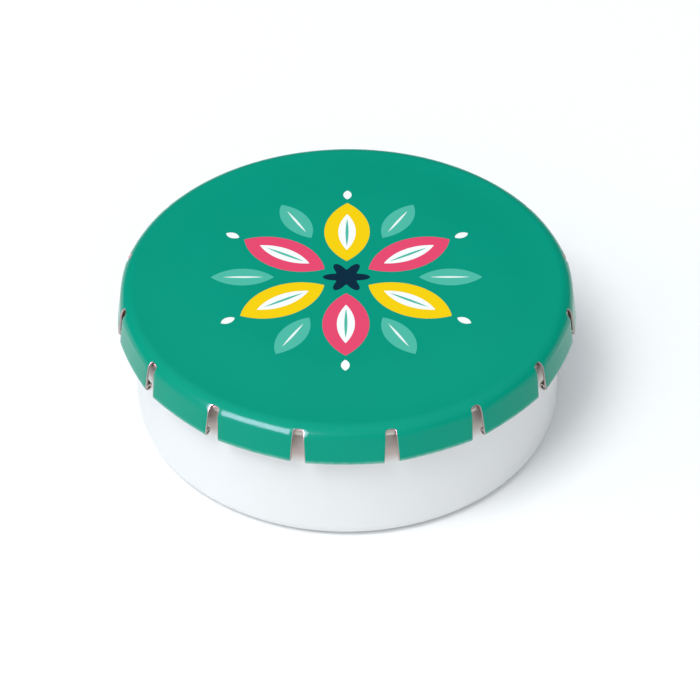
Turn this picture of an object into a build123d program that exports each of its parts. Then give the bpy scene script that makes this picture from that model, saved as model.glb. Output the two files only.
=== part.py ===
# Mint tin with a click lid: a drawn tinplate cup with a rolled rim, a pressed lid whose
# middle snaps down and whose slotted skirt then opens, and two layers of round mints.
# Millimetres, +Z up, origin at the centre of the foot. Sections are drawn as (radius, height).

import os
from math import acos, atan, atan2, cos, degrees, hypot, pi, radians, sin, sqrt

from build123d import *

os.makedirs("parts", exist_ok=True)

# Sheet, and the flat steps and sides that stand for its bends, which keep the facets few
sheet = 0.25
corner_steps = 3
shoulder_steps = 3
hem_steps = 3
tab_steps = 3
slot_steps = 3
bead_sides = 6

# Cup
cup_diameter = 55.8
cup_height = 18.9
cup_corner = 2.0
floor_rise = 0.5
floor_slope_width = 0.6
foot_width = 1.3
bead_diameter = 1.15

# Lid
grip_gap = 0.1
seat_gap = 0.12
hem_diameter = 1.1
hem_lip = 0.3
shoulder_radius = 2.0
shoulder_inset = 0.4
skirt_depth = 5.3
fold_angle = 28.0
fold_gap = 0.12
tab_count = 16
slot_width = 1.3
slot_foot_width = 1.9
slot_top_depth = 0.45

# Press panel, which snaps down by twice its crown
panel_play = 0.65
panel_gap = 0.1
panel_crown = 0.5
crown_slope_width = 6.8

# Mints, counted by layer and, within it, by ring from the wall inwards
mint_rings = ((13, 6, 1), (10, 3))
mint_thickness = 5.0
mint_band = 2.4
mint_flat_diameter = 4.4
mint_sides = 12
mint_gap = 0.4
layer_gap = 0.45
tilt_per_layer = 3.0
turn_per_mint = 137.5

# Cup places
cup_radius = cup_diameter / 2
mouth_radius = cup_radius - sheet
foot_outer = cup_radius - cup_corner
foot_inner = foot_outer - foot_width
bead_radius = bead_diameter / 2
bead_corner_radius = bead_radius / cos(pi / bead_sides)
bead_centre = (mouth_radius + bead_radius, cup_height - bead_corner_radius)
bead_outer = mouth_radius + bead_diameter

# Lid places: the hem just clears the bead, and the shoulder nests over it
lid_radius = bead_outer + grip_gap + hem_diameter
hem_radius = hem_diameter / 2
shoulder_centre_r = lid_radius - shoulder_inset - shoulder_radius
nest_radius = shoulder_radius - sheet - bead_corner_radius - seat_gap
bead_outboard = max(bead_centre[0] - shoulder_centre_r, 0)
shoulder_centre = (shoulder_centre_r, bead_centre[1] - sqrt(nest_radius**2 - bead_outboard**2))
lid_top = shoulder_centre[1] + shoulder_radius
lid_foot = lid_top - skirt_depth
hem_centre = (lid_radius - hem_radius, lid_foot + hem_radius)

# The skirt is the straight line that touches the shoulder and the hem from outside
skirt_run = hem_centre[0] - shoulder_centre[0]
skirt_fall = hem_centre[1] - shoulder_centre[1]
skirt_turn = acos((shoulder_radius - hem_radius) / hypot(skirt_run, skirt_fall))
skirt_lean = degrees(skirt_turn + atan2(skirt_fall, skirt_run))

# Places of the panel, the tabs and the slots between them
panel_radius = mouth_radius - panel_play
crown_top = lid_top + panel_crown
tab_pitch = 360 / tab_count
front = -90
first_slot = front - tab_pitch / 2
slot_round_height = lid_top - slot_top_depth - slot_width / 2
fold_gap_angle = degrees(fold_gap / shoulder_radius)


def bend(centre, radius, start, end, steps):
    """Points along a bend, from one direction to the other, in degrees from straight out."""
    angles = [radians(start + (end - start) * step / steps) for step in range(steps + 1)]
    return [(centre[0] + radius * cos(a), centre[1] + radius * sin(a)) for a in angles]


def sheet_section(path, side):
    """The path, thickened to the sheet on one side."""
    with BuildSketch() as section:
        with BuildLine():
            Polyline(*path)
            offset(amount=sheet, side=side, kind=Kind.INTERSECTION)
        make_face()
    return section.sketch_local


def radial_plane(angle):
    """The upright plane through the axis whose x points in this direction."""
    outward = Vector(1, 0, 0).rotate(Axis.Z, angle)
    return Plane((0, 0, 0), x_dir=outward, z_dir=outward.cross(Vector(0, 0, 1)))


def finish(part, name):
    """Name one piece and write it."""
    part.label = name
    export_step(part, f"parts/{name}.step")


# Cup: foot ring, raised floor, straight wall and the rolled bead, which closes on itself
cup_path = [
    (0, floor_rise),
    (foot_inner - floor_slope_width, floor_rise),
    (foot_inner, 0),
    *bend((foot_outer, cup_corner), cup_corner, -90, 0, corner_steps),
    (cup_radius, bead_centre[1]),
]
with BuildPart() as base_cup:
    with BuildSketch(Plane.XZ):
        add(sheet_section(cup_path, Side.LEFT))
        with Locations(bead_centre):
            RegularPolygon(bead_radius, bead_sides, major_radius=False, rotation=180 / bead_sides)
    revolve(axis=Axis.Z)
finish(base_cup.part, "base_cup")

# Slot punch: a round-topped slot, seen from outside, that runs out along +X. It opens downwards,
# because the slots are cut first and the skirt is then bent outwards
with BuildPart() as slot_punch:
    with BuildSketch(Plane.YZ):
        with BuildLine():
            Polyline(
                *bend((0, slot_round_height), slot_width / 2, 180, 0, slot_steps),
                (slot_foot_width / 2, lid_foot),
                (-slot_foot_width / 2, lid_foot),
                close=True,
            )
        make_face()
    extrude(amount=lid_radius)

# Lid rim: the flat ring and the shoulder down to the fold, with the round ends of the slots
rim_path = [
    (panel_radius + panel_gap, lid_top),
    *bend(shoulder_centre, shoulder_radius, 90, fold_angle, shoulder_steps),
]
with BuildPart() as lid_rim:
    with BuildSketch(Plane.XZ):
        add(sheet_section(rim_path, Side.RIGHT))
    revolve(axis=Axis.Z)
    with PolarLocations(0, tab_count, start_angle=first_slot):
        add(slot_punch.part, mode=Mode.SUBTRACT)
finish(lid_rim.part, "lid_rim")

# Press panel: the middle of the lid, raised to a low crown until it is pressed
panel_path = [
    (0, crown_top),
    (panel_radius - crown_slope_width, crown_top),
    (panel_radius, lid_top),
]
with BuildPart() as lid_panel:
    with BuildSketch(Plane.XZ):
        add(sheet_section(panel_path, Side.RIGHT))
    revolve(axis=Axis.Z)
finish(lid_panel.part, "lid_panel")

# Tabs: pieces of skirt that hang from the fold, each with its foot rolled inwards to a hem
hem = bend(hem_centre, hem_radius, skirt_lean, -180, hem_steps)
tab_path = [
    *bend(shoulder_centre, shoulder_radius, fold_angle - fold_gap_angle, skirt_lean, 1),
    *hem,
    (hem[-1][0], hem[-1][1] + hem_lip),
]
tab_turn = tab_pitch / tab_steps
with BuildPart() as lid_tab:
    for step in range(tab_steps + 1):
        with BuildSketch(radial_plane(first_slot + step * tab_turn)):
            add(sheet_section(tab_path, Side.RIGHT))
    loft(ruled=True)
    with PolarLocations(0, 2, start_angle=first_slot, angular_range=tab_pitch, endpoint=True):
        add(slot_punch.part, mode=Mode.SUBTRACT)
for number in range(tab_count):
    finish(lid_tab.part.rotate(Axis.Z, number * tab_pitch), f"lid_tab_{number + 1:02d}")

# Mint: a pressed tablet with a straight band, crowned on both faces, of the size at which
# the bottom layer's outer ring closes along the wall
wall_share = sin(pi / mint_rings[0][0])
mint_room = 2 * wall_share * (mouth_radius - mint_gap) - mint_gap
mint_diameter = mint_room / (1 + wall_share)
mint_cap = (mint_thickness - mint_band) / 2
mint_slope = degrees(atan((mint_diameter - mint_flat_diameter) / 2 / mint_cap))
with BuildPart() as mint:
    with BuildSketch():
        RegularPolygon(mint_diameter / 2, mint_sides)
    extrude(amount=mint_band / 2)
    extrude(faces().sort_by(Axis.Z)[-1], amount=mint_cap, taper=mint_slope)
    mirror(about=Plane.XY)

# Mint layers: the upper one lies over the gaps of the lower one, a little tilted
mint_step = mint_diameter + mint_gap
outer_ring = mouth_radius - mint_diameter / 2 - mint_gap
floor_mint_height = floor_rise + sheet + mint_thickness / 2
number = 0
for layer, counts in enumerate(mint_rings):
    height = floor_mint_height + layer * (mint_thickness + layer_gap)
    for ring, count in enumerate(counts):
        ring_radius = outer_ring - (ring + layer / 2) * mint_step if count > 1 else 0
        for place in PolarLocations(ring_radius, count):
            number += 1
            lie = Rotation(0, 0, number * turn_per_mint) * Rotation(layer * tilt_per_layer, 0, 0)
            finish(Pos(0, 0, height) * place * lie * mint.part, f"mint_{number:02d}")
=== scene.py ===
# %% [markdown]
# # A mint tin with a click lid
#
# The tin is pressed from tinplate: thin steel with a skin of tin. It has a white cup with a
# rolled bead at its mouth, a green printed lid with a slotted skirt, and round mints inside.
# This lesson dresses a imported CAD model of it. The CAD gives every place and every motion, and
# each piece made here stands for one CAD node, or for a part of one.

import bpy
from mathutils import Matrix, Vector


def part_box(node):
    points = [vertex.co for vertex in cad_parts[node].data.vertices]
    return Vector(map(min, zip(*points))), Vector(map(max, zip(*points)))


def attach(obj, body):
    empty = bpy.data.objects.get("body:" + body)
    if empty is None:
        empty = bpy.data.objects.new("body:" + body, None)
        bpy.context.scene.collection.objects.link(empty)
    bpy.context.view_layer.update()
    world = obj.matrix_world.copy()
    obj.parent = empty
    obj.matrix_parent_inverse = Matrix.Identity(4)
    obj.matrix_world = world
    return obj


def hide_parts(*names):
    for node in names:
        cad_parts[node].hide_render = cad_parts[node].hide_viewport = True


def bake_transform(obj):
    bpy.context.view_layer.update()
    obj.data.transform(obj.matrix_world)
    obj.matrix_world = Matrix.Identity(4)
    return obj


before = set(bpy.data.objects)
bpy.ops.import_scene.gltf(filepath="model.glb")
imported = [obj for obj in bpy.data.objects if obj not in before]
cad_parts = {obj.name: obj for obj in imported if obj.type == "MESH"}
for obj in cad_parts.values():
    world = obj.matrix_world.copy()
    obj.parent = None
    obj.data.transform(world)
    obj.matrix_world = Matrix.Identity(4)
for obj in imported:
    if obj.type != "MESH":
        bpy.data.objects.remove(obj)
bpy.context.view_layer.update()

# %% Tools of the lesson
from math import acos, asin, atan2, cos, degrees, hypot, pi, radians, sin, tan

import bpy
from mathutils import Matrix, Quaternion, Vector

print("Blender", bpy.app.version_string)

# %% [markdown]
# ## Sizes
#
# Blender works in metres and the tin is small, so the sizes are written in millimetres and
# turned to metres where they are used. They are those of the CAD model, apart from the round of
# the slots' corners, so that each dressed piece lies where its solid does. A centre is the
# (radius, height) of the middle of a bend.

# %% Sizes of the tin, in millimetres
MM = 0.001
sheet = 0.25
cup_radius, cup_corner = 27.9, 2.0
floor_rise = 0.5
foot_outer, foot_inner = 25.9, 24.6
bead_centre, bead_radius = (28.225, 18.236), 0.575
shoulder_centre, shoulder_radius = (27.6, 17.4994), 2.0
hem_centre, hem_radius = (29.45, 14.7494), 0.55
lid_top = shoulder_centre[1] + shoulder_radius
lid_foot = hem_centre[1] - hem_radius
panel_radius, panel_crown = 27.0, 0.5
tab_count = 16
slot_half_width, slot_foot_half_width = 0.65, 0.95
slot_depth, slot_corner = 0.45, 0.45
slot_corner_height = lid_top - slot_depth - slot_corner

# %% Size of the lid against the CAD
tab_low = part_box("lid_tab_01")[0]
print("foot of the lid:", round(tab_low.z / MM, 3), "and here:", round(lid_foot, 3))

# %% [markdown]
# The skirt is the straight line that touches the shoulder and the hem from outside. Its lean
# says where the shoulder's bend ends and where the hem's bend begins.

# %% The lean of the skirt
skirt_run = hem_centre[0] - shoulder_centre[0]
skirt_fall = hem_centre[1] - shoulder_centre[1]
skirt_turn = acos((shoulder_radius - hem_radius) / hypot(skirt_run, skirt_fall))
skirt_lean = degrees(skirt_turn + atan2(skirt_fall, skirt_run))
tab_pitch = 360 / tab_count
print("the skirt leans outwards by", round(skirt_lean, 2), "degrees")

# %% [markdown]
# ## Drawing sheet metal
#
# A pressed tin is one thin sheet, so each piece starts as a line: the section of the sheet. The
# line is drawn point by point with the extrude tool, starting from a plane that is merged to a
# single point. Spinning it about the upright axis gives the form that the press tool gives, and
# a Solidify modifier then gives the sheet its thickness.

# %% Draw a section, point by point
def draw_section(name, points):
    """Draw a line through these (radius, height) points, on the plane of X and Z."""
    bpy.ops.object.select_all(action="DESELECT")
    bpy.ops.mesh.primitive_plane_add(size=sheet * MM)
    piece = bpy.context.object
    piece.name = piece.data.name = name
    bpy.ops.object.mode_set(mode="EDIT")
    bpy.ops.mesh.merge(type="CENTER")
    last = (0, 0)
    for number, point in enumerate(points):
        step = ((point[0] - last[0]) * MM, 0, (point[1] - last[1]) * MM)
        if number == 0:
            bpy.ops.transform.translate(value=step)
        else:
            bpy.ops.mesh.extrude_vertices_move(TRANSFORM_OT_translate={"value": step})
        last = point
    return piece


# %% Equal steps, and points along a bend
def evenly(first, last, steps):
    """Values from the first to the last, in equal steps."""
    return [first + (last - first) * step / steps for step in range(steps + 1)]


def bend_point(centre, radius, turn):
    """The point of a bend that lies this way from its centre, in degrees from straight out."""
    return (centre[0] + radius * cos(radians(turn)), centre[1] + radius * sin(radians(turn)))


def bend(centre, radius, start, end, steps):
    """Points along a bend, from one direction to the other."""
    return [bend_point(centre, radius, turn) for turn in evenly(start, end, steps)]


# %% [markdown]
# The spin tool needs the whole line selected, and turns clockwise seen from above. It leaves
# double points where the line meets the axis or closes on itself, so these are merged.

# %% Spin a section about the upright axis
double_reach = 0.001


def spin_section(turn, steps):
    """Spin the line just drawn by this many degrees, merge the doubles and leave edit mode."""
    bpy.ops.mesh.select_all(action="SELECT")
    bpy.ops.mesh.spin(steps=steps, angle=-radians(turn), center=(0, 0, 0), axis=(0, 0, 1))
    bpy.ops.mesh.select_all(action="SELECT")
    bpy.ops.mesh.remove_doubles(threshold=double_reach * MM)
    bpy.ops.object.mode_set(mode="OBJECT")


# %% [markdown]
# A spin can leave the faces looking inwards, which would turn the sheet's thickness the wrong
# way. So the faces are made to agree and then looked at: on an outer face of the tin, most of
# them look away from a point behind it, its heart.

# %% Select one piece, and make its faces look outwards
def select_only(piece):
    """Deselect everything, then select this piece and make it the active one."""
    bpy.ops.object.select_all(action="DESELECT")
    piece.select_set(True)
    bpy.context.view_layer.objects.active = piece


def face_outwards(piece, heart=(0, 0, 0)):
    """Make the faces agree, and turn them all if most look at the heart, in millimetres."""
    select_only(piece)
    bpy.ops.object.mode_set(mode="EDIT")
    bpy.ops.mesh.select_all(action="SELECT")
    bpy.ops.mesh.normals_make_consistent(inside=False)
    bpy.ops.object.mode_set(mode="OBJECT")
    outward = 0
    for face in piece.data.polygons:
        outward += face.normal.dot((face.center - Vector(heart) * MM).normalized()) * face.area
    if outward < 0:
        bpy.ops.object.mode_set(mode="EDIT")
        bpy.ops.mesh.flip_normals()
        bpy.ops.object.mode_set(mode="OBJECT")


# %% Add a modifier and apply it
def apply_modifier(piece, kind, **settings):
    """Add a modifier with these settings, and apply it to the mesh."""
    select_only(piece)
    modifier = piece.modifiers.new(kind.title(), kind)
    for setting, value in settings.items():
        setattr(modifier, setting, value)
    bpy.ops.object.modifier_apply(modifier=modifier.name)


# %% [markdown]
# Solidify puts the second face of the sheet on the inside, and can give it, and the cut edges
# round it, materials of their own: print outside, plain tinplate inside, bare steel where
# the sheet was cut. A fourth is for what is rolled up inside a hem.

# %% Give the sheet its thickness
outside, inside, cut, rolled = range(4)
smooth_angle = radians(40)


def thicken(piece, materials):
    """Give the sheet its thickness, and these materials in the order given above."""
    for material in materials:
        piece.data.materials.append(material)
    apply_modifier(
        piece, "SOLIDIFY", thickness=sheet * MM, offset=-1, use_even_offset=True,
        material_offset=inside, material_offset_rim=cut,
    )
    bpy.ops.object.shade_smooth_by_angle(angle=smooth_angle)
    print(piece.name, "is a sheet with", len(piece.data.polygons), "faces")


# %% [markdown]
# The shear that cuts a slot drags the sheet's outer edge inwards and breaks the print off it. A
# small bevel along the slots shows that as a bright line. Seams and the hem's end have no such
# edge: theirs run level round the tin, so an edge that changes height belongs to a slot.

# %% Break the outer edges of the slots
edge_break = 0.06
level_within = 0.001


def break_edges(piece):
    """Bevel the edges between the outside and a cut that aren't level, with the cut's material."""
    kinds = {}
    for face in piece.data.polygons:
        for key in face.edge_keys:
            kinds.setdefault(key, set()).add(face.material_index)
    select_only(piece)
    bpy.ops.object.mode_set(mode="EDIT")
    bpy.ops.mesh.select_mode(type="EDGE")
    bpy.ops.mesh.select_all(action="DESELECT")
    bpy.ops.object.mode_set(mode="OBJECT")
    corners = piece.data.vertices
    for edge in piece.data.edges:
        rise = abs(corners[edge.vertices[0]].co.z - corners[edge.vertices[1]].co.z)
        edge.select = kinds[edge.key] == {outside, cut} and rise > level_within * MM
    bpy.ops.object.mode_set(mode="EDIT")
    bpy.ops.mesh.bevel(offset=edge_break * MM, segments=2, affect="EDGES", material=cut)
    bpy.ops.mesh.select_mode(type="VERT")
    bpy.ops.object.mode_set(mode="OBJECT")
    bpy.ops.object.shade_smooth_by_angle(angle=smooth_angle, keep_sharp_edges=False)
    cut_faces = [face for face in piece.data.polygons if face.material_index == cut]
    print(piece.name, "has", len(cut_faces), "faces of cut edge")


# %% [markdown]
# ## Materials
#
# Colours are written as the hex values that a screen shows. The shader works in linear light,
# so one function turns them. Another small function adds a node, sets it and links it. A Mix
# node keeps its two colours on sockets 6 and 7, and gives the mixed one on its output 2.

# %% Colours and nodes
def colour(code):
    """The linear colour of an sRGB hex value."""
    shares = [int(code[i : i + 2], 16) / 255 for i in (1, 3, 5)]
    return [s / 12.92 if s <= 0.04045 else ((s + 0.055) / 1.055) ** 2.4 for s in shares] + [1]


def set_inputs(node, inputs):
    """Give each input its value, or link it to the output socket that feeds it."""
    for socket, value in inputs.items():
        if isinstance(value, bpy.types.NodeSocket):
            node.id_data.links.new(value, node.inputs[socket])
        else:
            node.inputs[socket].default_value = value


def add_node(owner, kind, inputs=None, **settings):
    """Add a node with these settings and inputs to a material or a world."""
    node = owner.node_tree.nodes.new(kind)
    for setting, value in settings.items():
        setattr(node, setting, value)
    set_inputs(node, inputs or {})
    return node


# %% Start a material
def start_material(name):
    """A material with its shader, and the place on the object in millimetres."""
    material = bpy.data.materials.new(name)
    material.use_nodes = True
    material.node_tree.nodes.clear()
    shader = add_node(material, "ShaderNodeBsdfPrincipled")
    add_node(material, "ShaderNodeOutputMaterial", {"Surface": shader.outputs[0]})
    metres = add_node(material, "ShaderNodeTexCoord")
    millimetres = add_node(
        material, "ShaderNodeMapping", {"Vector": metres.outputs["Object"], "Scale": [1 / MM] * 3}
    )
    return material, shader, millimetres.outputs[0]


# %% [markdown]
# No real surface is quite even. Its colour wanders a little. Rolled steel has a faint waviness a
# millimetre or two across, lacquer dries with a fine orange peel, and handling leaves dull
# patches. A noise with its scale worked out from the size of the feature gives each of them.
# Most of a noise lies between 0.3 and 0.7, so that much of it is spread over the roughness.

# %% A colour that wanders
def two_tones(material, place, feature, detail, first, second):
    """Two colours that run into each other over patches of this width in millimetres."""
    noise = add_node(
        material, "ShaderNodeTexNoise", {"Vector": place, "Scale": 1 / feature, "Detail": detail}
    )
    mix = add_node(
        material, "ShaderNodeMix",
        {"Factor": noise.outputs[0], 6: colour(first), 7: colour(second)}, data_type="RGBA",
    )
    return mix.outputs[2]


# %% Waviness and dull patches
noise_low, noise_high = 0.3, 0.7


def add_peel(material, shader, place, feature, height):
    """Bump of this height over features of this width, both in millimetres."""
    noise = add_node(
        material, "ShaderNodeTexNoise", {"Vector": place, "Scale": 1 / feature, "Detail": 2.0}
    )
    bump = add_node(
        material, "ShaderNodeBump",
        {"Height": noise.outputs[0], "Distance": height * MM, "Strength": 1.0},
    )
    set_inputs(shader, {"Normal": bump.outputs[0]})


def add_dull_patches(material, shader, place, feature, lowest, highest):
    """Roughness that wanders between two values over patches of this width in millimetres."""
    noise = add_node(
        material, "ShaderNodeTexNoise", {"Vector": place, "Scale": 1 / feature, "Detail": 4.0}
    )
    spread = add_node(
        material, "ShaderNodeMapRange",
        {
            "Value": noise.outputs[0], "From Min": noise_low, "From Max": noise_high,
            "To Min": lowest, "To Max": highest,
        },
    )
    set_inputs(shader, {"Roughness": spread.outputs[0]})


# %% [markdown]
# ### Litho-printed tinplate
#
# The lid is printed flat by offset lithography, varnished, and only then pressed. The ink lies
# under a clear varnish, so the colours are even and the gloss is the same all over. The motif
# in the middle is a rosette of leaves, worked out from angles and distances, so it needs no
# picture. The place is folded six times round, and each leaf is the overlap of two discs.

# %% Fold the place round the middle
petal_count = 6
half_petal = pi / petal_count


def fold_place(material, radius, angle, first_spoke):
    """The place as seen from the nearest spoke: how far along it, and how far to its side."""
    from_spoke = add_node(
        material, "ShaderNodeMath", {0: angle, 1: first_spoke}, operation="SUBTRACT"
    )
    turn = add_node(
        material, "ShaderNodeMath", {0: from_spoke.outputs[0], 1: half_petal}, operation="PINGPONG"
    )
    along = add_node(material, "ShaderNodeMath", {0: turn.outputs[0]}, operation="COSINE")
    aside = add_node(material, "ShaderNodeMath", {0: turn.outputs[0]}, operation="SINE")
    way = add_node(
        material, "ShaderNodeCombineXYZ", {"X": along.outputs[0], "Y": aside.outputs[0]}
    )
    folded = add_node(
        material, "ShaderNodeVectorMath", {0: way.outputs[0], "Scale": radius}, operation="SCALE"
    )
    return folded.outputs[0]


# %% A leaf that lies along a spoke
def leaf_mask(material, folded, nearest, furthest, width):
    """1 inside a leaf between two distances from the middle; the fold mirrors its other half."""
    half_length, half_width = (furthest - nearest) / 2, width / 2
    disc_radius = (half_length**2 + half_width**2) / (2 * half_width)
    disc_centre = (nearest + half_length, half_width - disc_radius, 0)
    reach = add_node(
        material, "ShaderNodeVectorMath", {0: folded, 1: disc_centre}, operation="DISTANCE"
    )
    leaf = add_node(
        material, "ShaderNodeMath", {0: reach.outputs["Value"], 1: disc_radius},
        operation="LESS_THAN",
    )
    return leaf.outputs[0]


# %% The printed lid
litho_print, shader, place = start_material("litho_printed_tinplate")
across, along, height = add_node(litho_print, "ShaderNodeSeparateXYZ", {0: place}).outputs
flat_place = add_node(
    litho_print, "ShaderNodeMapping", {"Vector": place, "Scale": (1.0, 1.0, 0.0)}
)
length = add_node(
    litho_print, "ShaderNodeVectorMath", {0: flat_place.outputs[0]}, operation="LENGTH"
)
radius = length.outputs["Value"]
angle = add_node(
    litho_print, "ShaderNodeMath", {0: along, 1: across}, operation="ARCTAN2"
).outputs[0]
on_petals = fold_place(litho_print, radius, angle, half_petal)
between_petals = fold_place(litho_print, radius, angle, 0.0)
print("spokes of the rosette:", 2 * petal_count)

# %% [markdown]
# Every other petal is pink: those where a wave that runs three times round is above zero. A
# wave that runs six times round draws the edge of the small star in the middle.

# %% Every other petal, and the star
star_radius, star_wave = 2.3, 0.75
petal = leaf_mask(litho_print, on_petals, nearest=3.3, furthest=15.6, width=6.0)
three_turns = add_node(
    litho_print, "ShaderNodeMath", {0: angle, 1: petal_count / 2}, operation="MULTIPLY"
)
wave = add_node(litho_print, "ShaderNodeMath", {0: three_turns.outputs[0]}, operation="SINE")
every_other = add_node(
    litho_print, "ShaderNodeMath", {0: wave.outputs[0], 1: 0.0}, operation="GREATER_THAN"
)
pink_petal = add_node(
    litho_print, "ShaderNodeMath", {0: petal, 1: every_other.outputs[0]}, operation="MULTIPLY"
)
six_turns = add_node(
    litho_print, "ShaderNodeMath", {0: angle, 1: petal_count}, operation="MULTIPLY"
)
points = add_node(litho_print, "ShaderNodeMath", {0: six_turns.outputs[0]}, operation="COSINE")
star_edge = add_node(
    litho_print, "ShaderNodeMath", {0: points.outputs[0], 1: star_wave, 2: star_radius},
    operation="MULTIPLY_ADD",
)
star = add_node(
    litho_print, "ShaderNodeMath", {0: radius, 1: star_edge.outputs[0]}, operation="LESS_THAN"
)
print("the star reaches out to", star_radius + star_wave, "mm")

# %% [markdown]
# The ground green is not quite even: presses lay ink in soft bands. Then come the leaves between
# the petals, the petals and what lies on them, a small tip beyond each petal, and the star, each
# laid over the one before.

# %% Ink, motif by motif
ink = two_tones(litho_print, place, feature=9, detail=3.0, first="#009277", second="#02977e")
for mask, ink_code in (
    (leaf_mask(litho_print, between_petals, nearest=9.4, furthest=17.6, width=3.4), "#4fb8a2"),
    (leaf_mask(litho_print, between_petals, nearest=10.8, furthest=16.0, width=0.34), "#e9f4ef"),
    (petal, "#f5ce08"),
    (pink_petal.outputs[0], "#e6486d"),
    (leaf_mask(litho_print, on_petals, nearest=5.6, furthest=13.2, width=2.3), "#f7f8f5"),
    (leaf_mask(litho_print, on_petals, nearest=6.4, furthest=12.2, width=0.4), "#4fb8a2"),
    (leaf_mask(litho_print, on_petals, nearest=16.4, furthest=18.4, width=1.1), "#f7f8f5"),
    (star.outputs[0], "#06283d"),
):
    laid = add_node(
        litho_print, "ShaderNodeMix", {"Factor": mask, 6: ink, 7: colour(ink_code)},
        data_type="RGBA",
    )
    ink = laid.outputs[2]
print("the print has", len(litho_print.node_tree.nodes), "nodes so far")

# %% [markdown]
# Along the foot of the skirt a paler line is painted. Part of it is print thinned where the sheet
# is bent hardest, and part is a painted highlight for the light the hem's curl catches from below.
# The varnish is thin and mirrors only a little, but sharply, and the ink under it tints what it
# mirrors.

# %% The pale line at the hem
# The pale line is partly thinned print and partly a painted highlight, for the light that the
# hem's curl catches from below.
pale_line_start, pale_line_full, pale_line_width = 0.8, 0.15, 0.8
pale_hem_band = add_node(
    litho_print, "ShaderNodeMapRange",
    {"Value": height, "From Min": lid_foot + pale_line_start, "From Max": lid_foot + pale_line_full},
)
pale_line_noise = add_node(
    litho_print, "ShaderNodeTexNoise", {"Vector": place, "Scale": 1 / pale_line_width, "Detail": 2.0}
)
worn_and_highlit = add_node(
    litho_print, "ShaderNodeMath", {0: pale_hem_band.outputs[0], 1: pale_line_noise.outputs[0]},
    operation="MULTIPLY",
)
ink_with_wear_and_highlight = add_node(
    litho_print, "ShaderNodeMix", {"Factor": worn_and_highlit.outputs[0], 6: ink, 7: colour("#c4e6de")},
    data_type="RGBA",
)
# Where the pale line begins: thinned print and painted highlight together.
print("the print thins from", pale_line_start, "mm above the foot")

# %% Varnish
set_inputs(shader, {
    "Base Color": ink_with_wear_and_highlight.outputs[2],
    "IOR": 1.5,
    "Specular IOR Level": 0.2,
    "Specular Tint": colour("#b0e4d8"),
})
add_dull_patches(litho_print, shader, place, feature=7, lowest=0.17, highest=0.23)
add_peel(litho_print, shader, place, feature=1.6, height=0.0012)
print("nodes of the printed lid:", len(litho_print.node_tree.nodes))

# %% [markdown]
# ### White stoved enamel
#
# The cup is coated white and baked. The coat is thick and soft in its gloss, so highlights are
# broad and the corner at the foot shades gently. Under the lid the white is painted a warm grey:
# painted shade, for the shade that falls behind the slots.

# %% The cup's coat
painted_shade_start, painted_shade_full = 1.6, 0.1
white_enamel, shader, place = start_material("white_stoved_enamel")
white = two_tones(
    white_enamel, place, feature=12, detail=2.0, first="#e4e4e3", second="#e9e9e8"
)
up = add_node(white_enamel, "ShaderNodeSeparateXYZ", {0: place}).outputs[2]
# Painted shade: the white turns warm grey from below the lid's foot upwards, for the shade that
# falls under the lid and behind the slots.
under_lid_shade = add_node(
    white_enamel, "ShaderNodeMapRange",
    {"Value": up, "From Min": lid_foot - painted_shade_start, "From Max": lid_foot - painted_shade_full},
)
enamel_and_painted_shade = add_node(
    white_enamel, "ShaderNodeMix", {"Factor": under_lid_shade.outputs[0], 6: white, 7: colour("#c0b4aa")},
    data_type="RGBA",
)
set_inputs(shader, {"Base Color": enamel_and_painted_shade.outputs[2], "IOR": 1.5})
add_dull_patches(white_enamel, shader, place, feature=6, lowest=0.34, highest=0.42)
add_peel(white_enamel, shader, place, feature=1.4, height=0.0014)
# How far below the lid's foot the painted shade begins.
print("the coat runs out", painted_shade_start, "mm below the foot of the lid")

# %% [markdown]
# ### Lacquered tinplate
#
# Inside, the steel keeps its tin under a clear food lacquer, which warms its grey. Rolling
# leaves fine lines along the sheet, drawn here by a noise that is stretched along them. They are
# finer on the real sheet and are drawn 0.2 mm apart so that they show.

# %% The inside of the tin
grain_width, grain_stretch = 0.2, 25
tinplate, shader, place = start_material("lacquered_tinplate")
along_grain = add_node(
    tinplate, "ShaderNodeMapping", {"Vector": place, "Scale": (1 / grain_stretch, 1.0, 1.0)}
).outputs[0]
bare_tin = two_tones(
    tinplate, along_grain, feature=grain_width, detail=3.0, first="#b7afa6", second="#d2cbc2"
)
set_inputs(shader, {"Base Color": bare_tin, "Metallic": 1.0})
add_dull_patches(tinplate, shader, place, feature=3, lowest=0.34, highest=0.44)
add_peel(tinplate, shader, along_grain, feature=grain_width, height=0.0006)
print("rolling lines are", grain_width * grain_stretch, "mm long")

# %% [markdown]
# ### Sheared steel
#
# A cut edge has neither print nor lacquer. The shear leaves it bright and slightly ragged.

# %% The cut edge
rag_width = 0.15
cut_edge, shader, place = start_material("sheared_steel_edge")
bare_steel = two_tones(
    cut_edge, place, feature=rag_width, detail=2.0, first="#928b84", second="#bab4ad"
)
set_inputs(shader, {"Base Color": bare_steel, "Metallic": 1.0, "Roughness": 0.38})
add_peel(cut_edge, shader, place, feature=rag_width, height=0.004)
print("the shear's marks are", rag_width, "mm wide")

# %% [markdown]
# ### Pressed sugar
#
# The mints are sugar powder pressed hard between two punches: chalky, matt, with a fine grain
# and a few pits. Light goes a little way in, which softens the shadows.

# %% The mints
powder_width, light_depth = 0.35, 0.6
pressed_sugar, shader, place = start_material("pressed_sugar")
powder = two_tones(
    pressed_sugar, place, feature=powder_width, detail=5.0, first="#ecebe7", second="#fbfaf7"
)
set_inputs(shader, {
    "Base Color": powder,
    "Roughness": 0.82,
    "Subsurface Weight": 0.25,
    "Subsurface Radius": (1.0, 0.9, 0.8),
    "Subsurface Scale": light_depth * MM,
})
add_peel(pressed_sugar, shader, place, feature=powder_width, height=0.02)
finishes = (litho_print, white_enamel, tinplate, cut_edge, pressed_sugar)
print("materials:", [material.name for material in finishes])

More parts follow.
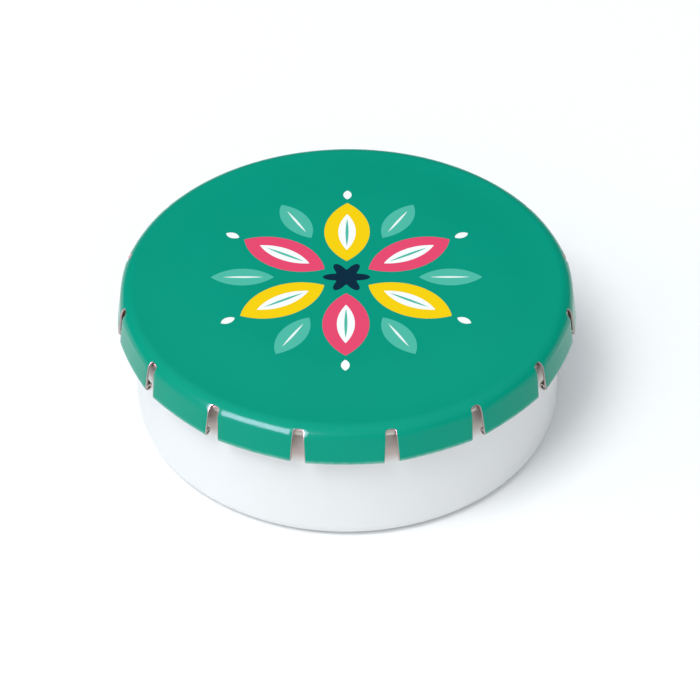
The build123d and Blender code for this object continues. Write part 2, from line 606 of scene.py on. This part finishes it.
# %% [markdown]
# ## The cup
#
# The cup is drawn from one disc of tinplate. Its section starts in the middle of the raised
# floor, goes round the foot ring and the corner, up the wall, and ends in the bead, where
# the sheet curls outwards nearly all the way round. The floor and the wall have a few points
# along them, so that no face is very long. The drawn line is the white face; the tinplate face
# lies inside it, and so outside on the curl.

# %% The cup's section
floor_flat, floor_slope = 12, 1.1
foot_bend, foot_inset = 0.3, 0.1
wall_heights = (6, 10, 14, 17)
small_steps, corner_steps, bead_steps = 4, 14, 20
cup_section = [
    (0, floor_rise),
    (floor_flat, floor_rise),
    *bend((foot_inner - floor_slope, floor_rise - foot_bend), foot_bend, 90, 40, small_steps),
    *bend((foot_inner + foot_inset, foot_bend), foot_bend, 220, 270, small_steps),
    *bend((foot_outer, cup_corner), cup_corner, -90, 0, corner_steps),
    *[(cup_radius, height) for height in wall_heights],
    *bend(bead_centre, bead_radius - sheet, 180, -150, bead_steps),
]
print("the cup's section has", len(cup_section), "points")

# %% Spin the cup
# Its heart lies above its mouth, because its floor has to look down
columns_per_tab = 16
around = tab_count * columns_per_tab
cup = draw_section("cup_shell", cup_section)
spin_section(360, around)
face_outwards(cup, heart=(0, 0, 30))
thicken(cup, [white_enamel, tinplate, cut_edge])

# %% [markdown]
# ## The lid's shoulder
#
# The lid is one sheet too, but it bends in use, so it is made of pieces that can follow its
# motion: a shoulder ring, sixteen tabs and a panel. The tabs' seams lie where the section is
# straight, and the panel's where it has only begun to bend, so that the light runs over them
# without a break.
#
# A slot cut with a Boolean would leave long thin faces that spoil the gloss. Instead half a
# slot's share of the shoulder is spun, and each row of its points is turned about the axis
# until the last one lies on the edge of the slot. Mirrored and repeated, it closes the ring.
# The slot's top corners are squarer than a quarter of a circle, so their formula has the third
# power where a circle's has the second.

# %% Rows of the shoulder
slot_steps, upper_steps, lower_steps = 10, 8, 3
squareness = 3
seam_height = 17.6
shoulder_start = 77
slot_rises = [
    slot_corner * sin(radians(turn)) ** (2 / squareness) for turn in evenly(90, 0, slot_steps)
]
slot_turns = [
    degrees(asin((slot_corner_height + rise - shoulder_centre[1]) / shoulder_radius))
    for rise in slot_rises
]
upper_turns = evenly(shoulder_start, slot_turns[0], upper_steps)[:-1]
lower_turns = evenly(slot_turns[-1], skirt_lean, lower_steps)[1:]
shoulder_rows = [
    bend_point(shoulder_centre, shoulder_radius, turn)
    for turn in upper_turns + slot_turns + lower_turns
]
last_radius, last_height = shoulder_rows[-1]
skirt_slope = tan(radians(skirt_lean))
seam_radius = last_radius + (last_height - seam_height) * skirt_slope
shoulder_rows.append((seam_radius, seam_height))
print(len(shoulder_rows), "rows from the panel to the seam")


# %% Half the width of a slot at a height
def slot_half_width_at(height):
    """Half the slot's width: flat at the top with round corners, and opening towards its foot."""
    above = (height - slot_corner_height) / slot_corner
    if above >= 1:
        return 0
    if above > 0:
        return slot_half_width * (1 - above**squareness) ** (1 / squareness)
    fall = (slot_corner_height - height) / (slot_corner_height - lid_foot)
    return slot_half_width + (slot_foot_half_width - slot_half_width) * fall


# %% [markdown]
# Between two slots nothing holds the skirt round, so each tab springs a little flat. The shade
# then changes from tab to tab, and the highlight on the shoulder breaks at every slot.

# %% Turn the points to the slot and flatten the tabs
half_pitch = tab_pitch / 2
half_slot = degrees(asin(slot_half_width / (shoulder_centre[0] + shoulder_radius)))
half_tab = half_pitch - half_slot
flat_share, flat_fall = 0.35, 1.4


def place_point(point, tab_middle, closeness):
    """Where a point belongs: turned towards the slot's edge, and nearer to the tab's flat."""
    radius, turn = hypot(point.x, point.y) / MM, degrees(atan2(point.y, point.x))
    height = point.z / MM
    turn += closeness * degrees(asin(slot_half_width_at(height) / radius))
    off_middle = min(abs(turn - tab_middle), half_tab)
    chord = cos(radians(half_tab)) / cos(radians(off_middle))
    below_slot_top = (lid_top - height - slot_depth) / flat_fall
    hold = min(1, max(0, below_slot_top)) * flat_share
    radius *= 1 + hold * (chord - 1)
    return Vector((radius * cos(radians(turn)), radius * sin(radians(turn)), height)) * MM


# %% Spin half a slot's share of the shoulder
half_columns = columns_per_tab // 2
shoulder = draw_section("lid_shoulder", shoulder_rows)
spin_section(half_pitch, half_columns)
for vertex in shoulder.data.vertices:
    turn = degrees(atan2(vertex.co.y, vertex.co.x))
    vertex.co = place_point(vertex.co, half_pitch, 1 - turn / half_pitch)
print("half a share of the shoulder:", len(shoulder.data.polygons), "faces")


# %% Turn a mesh about the upright axis
def turn_mesh(piece, turn):
    """Turn the mesh itself, so that its object stays at the origin and unturned."""
    piece.data.transform(Matrix.Rotation(radians(turn), 4, "Z"))


# %% [markdown]
# The Mirror modifier adds the other half of the share, and an Array turned by one pitch repeats
# the share round the ring. Both merge their seams.

# %% Mirror and repeat
front = -90
first_slot = front - half_pitch
seam_reach = 0.01
apply_modifier(shoulder, "MIRROR", use_axis=(False, True, False), merge_threshold=seam_reach * MM)
pitch_marker = bpy.data.objects.new("pitch_marker", None)
bpy.context.scene.collection.objects.link(pitch_marker)
pitch_marker.rotation_euler.z = radians(tab_pitch)
bpy.context.view_layer.update()
apply_modifier(
    shoulder, "ARRAY", count=tab_count, use_relative_offset=False, use_object_offset=True,
    offset_object=pitch_marker, use_merge_vertices=True, use_merge_vertices_cap=True,
    merge_threshold=seam_reach * MM,
)
bpy.data.objects.remove(pitch_marker)
turn_mesh(shoulder, first_slot)
face_outwards(shoulder)
thicken(shoulder, [litho_print, tinplate, cut_edge])
break_edges(shoulder)

# %% [markdown]
# ## The tabs
#
# A tab hangs from the shoulder's seam. Its foot is hemmed: rolled inwards and up, so that the
# roll hooks under the cup's bead and no sharp edge is left outside. The roll goes on in a spiral
# that fills it. One tab is spun, its sides are set to the slots, and it is copied sixteen times.

# %% Draw and spin one tab
skirt_steps, hem_steps, roll_steps = 6, 14, 12
hem_rows = bend(hem_centre, hem_radius, skirt_lean, -180, hem_steps)
roll_radii = evenly(hem_radius, hem_radius - sheet, roll_steps)
roll_turns = evenly(-180, -360, roll_steps)
for roll_radius, turn in zip(roll_radii[1:], roll_turns[1:]):
    hem_rows.append(bend_point(hem_centre, roll_radius, turn))
skirt_radii = evenly(seam_radius, hem_rows[0][0], skirt_steps)[:-1]
skirt_heights = evenly(seam_height, hem_rows[0][1], skirt_steps)[:-1]
tab_rows = [*zip(skirt_radii, skirt_heights), *hem_rows]
tab = draw_section("lid_tab_shell", tab_rows)
spin_section(tab_pitch, columns_per_tab)
turn_mesh(tab, -half_pitch)
print("tab rows:", len(tab_rows))

# %% [markdown]
# The print stops where the sheet turns under, so the roll inside the hem is bare. It is marked
# while the tab is still round. On the hem's outer side only what lies within the bend is bare,
# and on its inner side the bend itself is bare too.

# %% Mark the bare roll
outer_share, inner_share = 0.9, 1.1
for face in tab.data.polygons:
    out = hypot(face.center.x, face.center.y) / MM - hem_centre[0]
    up = face.center.z / MM - hem_centre[1]
    roll_share = outer_share if out > 0 else inner_share
    face.material_index = rolled if hypot(out, up) < roll_share * hem_radius else outside
print("bare faces:", sum(face.material_index == rolled for face in tab.data.polygons))

# %% Set the sides of the tab
# Its heart lies inside the tin, level with the middle of the tab
tab_heart = (20, 0, 16.5)
for vertex in tab.data.vertices:
    turn = degrees(atan2(vertex.co.y, vertex.co.x))
    vertex.co = place_point(vertex.co, 0, -turn / half_pitch)
face_outwards(tab, tab_heart)
thicken(tab, [litho_print, tinplate, cut_edge, tinplate])
break_edges(tab)


# %% Copy a piece with a mesh of its own
def copy_piece(piece, name, place):
    """A copy with its own mesh, moved there by this matrix."""
    copy = piece.copy()
    copy.data = piece.data.copy()
    copy.name = copy.data.name = name
    copy.data.transform(place)
    bpy.context.scene.collection.objects.link(copy)
    return copy


# %% [markdown]
# The tab is copied round the lid, and each copy hides the CAD tab of its number.

# %% Sixteen tabs
tab_shells = []
for number in range(tab_count):
    name = f"{number + 1:02d}"
    turned = Matrix.Rotation(radians(front + number * tab_pitch), 4, "Z")
    shell = copy_piece(tab, "tab_shell_" + name, turned)
    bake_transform(shell)
    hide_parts("lid_tab_" + name)
    tab_shells.append(shell)
bpy.data.objects.remove(tab)
print(len(tab_shells), "tabs")

# %% [markdown]
# ## The press panel
#
# The middle of the lid is crowned by half a millimetre. Pressed, it snaps to a dish of the same
# depth. The panel is made of sixteen sectors round a disc, and the disc rides on the panel's
# body. The sectors reach past the panel, over the flat ring and the first of the shoulder's
# round, which looks nearly straight up as the panel does and is lit as it is.

# %% The crown's height at a distance from the middle
crown_from = 16.0


def crown_height(radius):
    """The height of the panel: level in the middle, and level again where it meets the ring."""
    out = min(1, max(0, (radius - crown_from) / (panel_radius - crown_from)))
    return lid_top + panel_crown * (1 + cos(pi * out)) / 2


# %% The disc in the middle
disc_radius, disc_steps = 6.0, 4
disc_rows = [(radius, crown_height(radius)) for radius in evenly(0, disc_radius, disc_steps)]
disc = draw_section("lid_panel_disc", disc_rows)
spin_section(360, around)
face_outwards(disc)
thicken(disc, [litho_print, tinplate, cut_edge])

# %% One sector of the panel
sector_steps, round_steps = 24, 4
sector_radii = evenly(disc_radius, panel_radius, sector_steps)
sector_rows = [(radius, crown_height(radius)) for radius in sector_radii]
sector_rows += bend(shoulder_centre, shoulder_radius, 90, shoulder_start, round_steps)
sector = draw_section("lid_panel_sector", sector_rows)
spin_section(tab_pitch, columns_per_tab)
face_outwards(sector)
thicken(sector, [litho_print, tinplate, cut_edge])

# %% Sixteen sectors round the disc
for number in range(tab_count):
    turn = first_slot + number * tab_pitch
    name = f"panel_sector_{number + 1:02d}"
    piece = copy_piece(sector, name, Matrix.Rotation(radians(turn), 4, "Z"))
    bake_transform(piece)
    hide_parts("lid_panel")
bpy.data.objects.remove(sector)
print(tab_count, "sectors")

# %% [markdown]
# ## The mints
#
# A mint is a tablet with a band round its middle and a crowned face on each side. The edge
# between them is rounded over 0.2 mm. The section is drawn from the middle of one face to the
# middle of the other and spun. The tablet is copied to the place of each CAD mint; those of the
# upper layer lie a little tilted, as theirs do.

# %% Draw and spin one mint
mint_radius, mint_half, band_half = 5.1, 2.5, 1.2
edge_in, edge_down = 0.12, 0.2
corner_in, corner_down = 0.03, 0.06
cap_steps, mint_columns = 12, 48
mint_smooth_angle = radians(50)
cap_rise = mint_half - band_half
cap_radius = (mint_radius**2 + cap_rise**2) / (2 * cap_rise)
cap_turn = degrees(asin((mint_radius - edge_in) / cap_radius))
upper_half = [
    *bend((0, mint_half - cap_radius), cap_radius, 90, 90 - cap_turn, cap_steps),
    (mint_radius - corner_in, band_half - corner_down),
    (mint_radius, band_half - edge_down),
]
lower_half = [(radius, -height) for radius, height in reversed(upper_half)]
mint = draw_section("mint_tablet", [*upper_half, (mint_radius, 0), *lower_half])
spin_section(360, mint_columns)
face_outwards(mint)
mint.data.materials.append(pressed_sugar)
bpy.ops.object.shade_smooth_by_angle(angle=mint_smooth_angle)
print("mint:", round(2 * mint_radius, 2), "mm across,", len(mint.data.polygons), "faces")

# %% Copy it to each place
layer_split, upper_tilt, turn_per_mint = 6, 3, 137.5
mint_nodes = sorted(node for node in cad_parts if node.startswith("mint_"))
for number, node in enumerate(mint_nodes):
    low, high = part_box(node)
    centre = (low + high) / 2
    tilt = upper_tilt if centre.z > layer_split * MM else 0
    turned = Matrix.Rotation(radians(turn_per_mint * (number + 1)), 4, "Z")
    lie = turned @ Matrix.Rotation(radians(tilt), 4, "X")
    piece = copy_piece(mint, "tablet_" + node[-2:], Matrix.Translation(centre) @ lie)
    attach(piece, "base")
    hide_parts(node)
bpy.data.objects.remove(mint)
print(len(mint_nodes), "mints")

# %% [markdown]
# ## Riding on the bodies
#
# The cup, the shoulder and the disc are told which CAD body they move with, as the mints were,
# and the CAD node that each stands for is hidden. The tabs and the sectors are told no body.

# %% Ride and replace
for piece, body, node, slot in (
    (cup, "base", "base_cup", "cup_lacquer"),
    (shoulder, "lid", "lid_rim", "lid_print"),
    (disc, "panel", "lid_panel", "lid_print"),
):
    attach(piece, body)
    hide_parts(node)

# %% [markdown]
# ## Floor, light and camera
#
# The photograph was taken against white, from above the front. A plain sheet of paper stands for
# that: matt, and wide enough to fill the view.

# %% Floor
floor_size, floor_drop = 6, 0.02
floor_paper, shader, place = start_material("white_studio_paper")
paper = two_tones(floor_paper, place, feature=2.0, detail=3.0, first="#fbfbfb", second="#fdfdfd")
set_inputs(shader, {"Base Color": paper, "Roughness": 0.9, "Specular IOR Level": 0.2})
bpy.ops.object.select_all(action="DESELECT")
bpy.ops.mesh.primitive_plane_add(size=floor_size, location=(0, 0, -floor_drop * MM))
floor = bpy.context.object
floor.name = "studio_floor"
floor.data.materials.append(floor_paper)
print("floor", round(floor.dimensions.x, 1), "m wide")


# %% A softbox
def add_light(name, bearing, elevation, distance, size, radiance, tint="#ffffff"):
    """A softbox that looks at the tin. Bearing 0 is the front, and it grows to the right."""
    light = bpy.data.lights.new(name, "AREA")
    light.shape, light.size, light.size_y = "RECTANGLE", size[0], size[1]
    light.energy = radiance * pi * size[0] * size[1]
    light.color = colour(tint)[:3]
    lamp = bpy.data.objects.new(name, light)
    bpy.context.scene.collection.objects.link(lamp)
    way = Vector((
        sin(radians(bearing)) * cos(radians(elevation)),
        -cos(radians(bearing)) * cos(radians(elevation)),
        sin(radians(elevation)),
    ))
    lamp.location = way * distance
    lamp.rotation_euler = way.to_track_quat("Z", "Y").to_euler()
    return lamp


# %% [markdown]
# The light comes from the front left, from a large softbox, with a weak bluish one beside the
# tin for a window. Gloss mirrors neither of them. The streak on one tab is drawn by a softbox
# that only gloss can see, placed where that tab looks. It is linked to the skirt alone, as a
# photographer would flag it off the rest: the flat of the lid would turn white with it when
# seen from behind. Its light is rosy, so that the streak comes out white off the green.

# %% Lights
key = add_light(
    "key_softbox", bearing=-42, elevation=62, distance=3.0, size=(1.3, 1.3), radiance=7.9
)
key.visible_glossy = False
streak = add_light(
    "streak_softbox", bearing=-41, elevation=26, distance=0.9, size=(0.58, 0.60), radiance=53,
    tint="#ffb4e2",
)
streak.visible_diffuse = False
skirt_pieces = bpy.data.collections.new("skirt_pieces")
for piece in (shoulder, *tab_shells):
    skirt_pieces.objects.link(piece)
streak.light_linking.receiver_collection = skirt_pieces
window = add_light(
    "left_window", bearing=-88, elevation=16, distance=0.9, size=(0.5, 0.5), radiance=1.5,
    tint="#cde8fb",
)
window.visible_glossy = False

# %% [markdown]
# The room is bright overhead and in front, and dim at the back and low down. The flat of the lid
# looks at the back of the room, so its green stays deep.

# %% The pale room
bright_way = (-0.12, -0.4, 0.91)
dim_from, bright_from = 0.2, 0.9
dimmest, brightest = 0.1, 1.15
room = bpy.data.worlds.new("pale_room")
room.use_nodes = True
sky = add_node(room, "ShaderNodeTexCoord")
brightness = add_node(
    room, "ShaderNodeVectorMath", {0: sky.outputs["Generated"], 1: bright_way},
    operation="DOT_PRODUCT",
)
room_light = add_node(
    room, "ShaderNodeMapRange",
    {
        "Value": brightness.outputs["Value"], "From Min": dim_from, "From Max": bright_from,
        "To Min": dimmest, "To Max": brightest,
    },
)
background = room.node_tree.nodes["Background"]
set_inputs(background, {"Color": colour("#eff5fa"), "Strength": room_light.outputs[0]})
bpy.context.scene.world = room
bpy.context.scene.view_settings.view_transform = "Standard"
print("the room's brightness runs from", dimmest, "to", brightest)

# %% [markdown]
# The camera stands 40 cm off, about 40 degrees above the floor, with a long lens: the tin shows
# little perspective. The photograph was held half a degree off level, and a small shift, given
# in pixels of its 700 across, puts the tin in its place in the frame.

# %% Camera
photo_width = 700
shift_right, shift_up = 2.94, -8.45
aim_height, stand_off = 9 * MM, 0.4
azimuth, elevation, roll = radians(0.8), radians(40.5), radians(-0.54)
lens = bpy.data.cameras.new("studio_camera")
lens.lens, lens.sensor_width = 155.9, 36.0
lens.shift_x, lens.shift_y = shift_right / photo_width, shift_up / photo_width
lens.clip_start, lens.clip_end = 0.05, 20
camera = bpy.data.objects.new("studio_camera", lens)
bpy.context.scene.collection.objects.link(camera)
back = Vector((sin(azimuth) * cos(elevation), -cos(azimuth) * cos(elevation), sin(elevation)))
camera.location = Vector((0, 0, aim_height)) + back * stand_off
level = back.to_track_quat("Z", "Y")
camera.rotation_euler = (level @ Quaternion((0, 0, 1), roll)).to_euler()
bpy.context.scene.camera = camera
print("camera at", [round(x, 3) for x in camera.location])
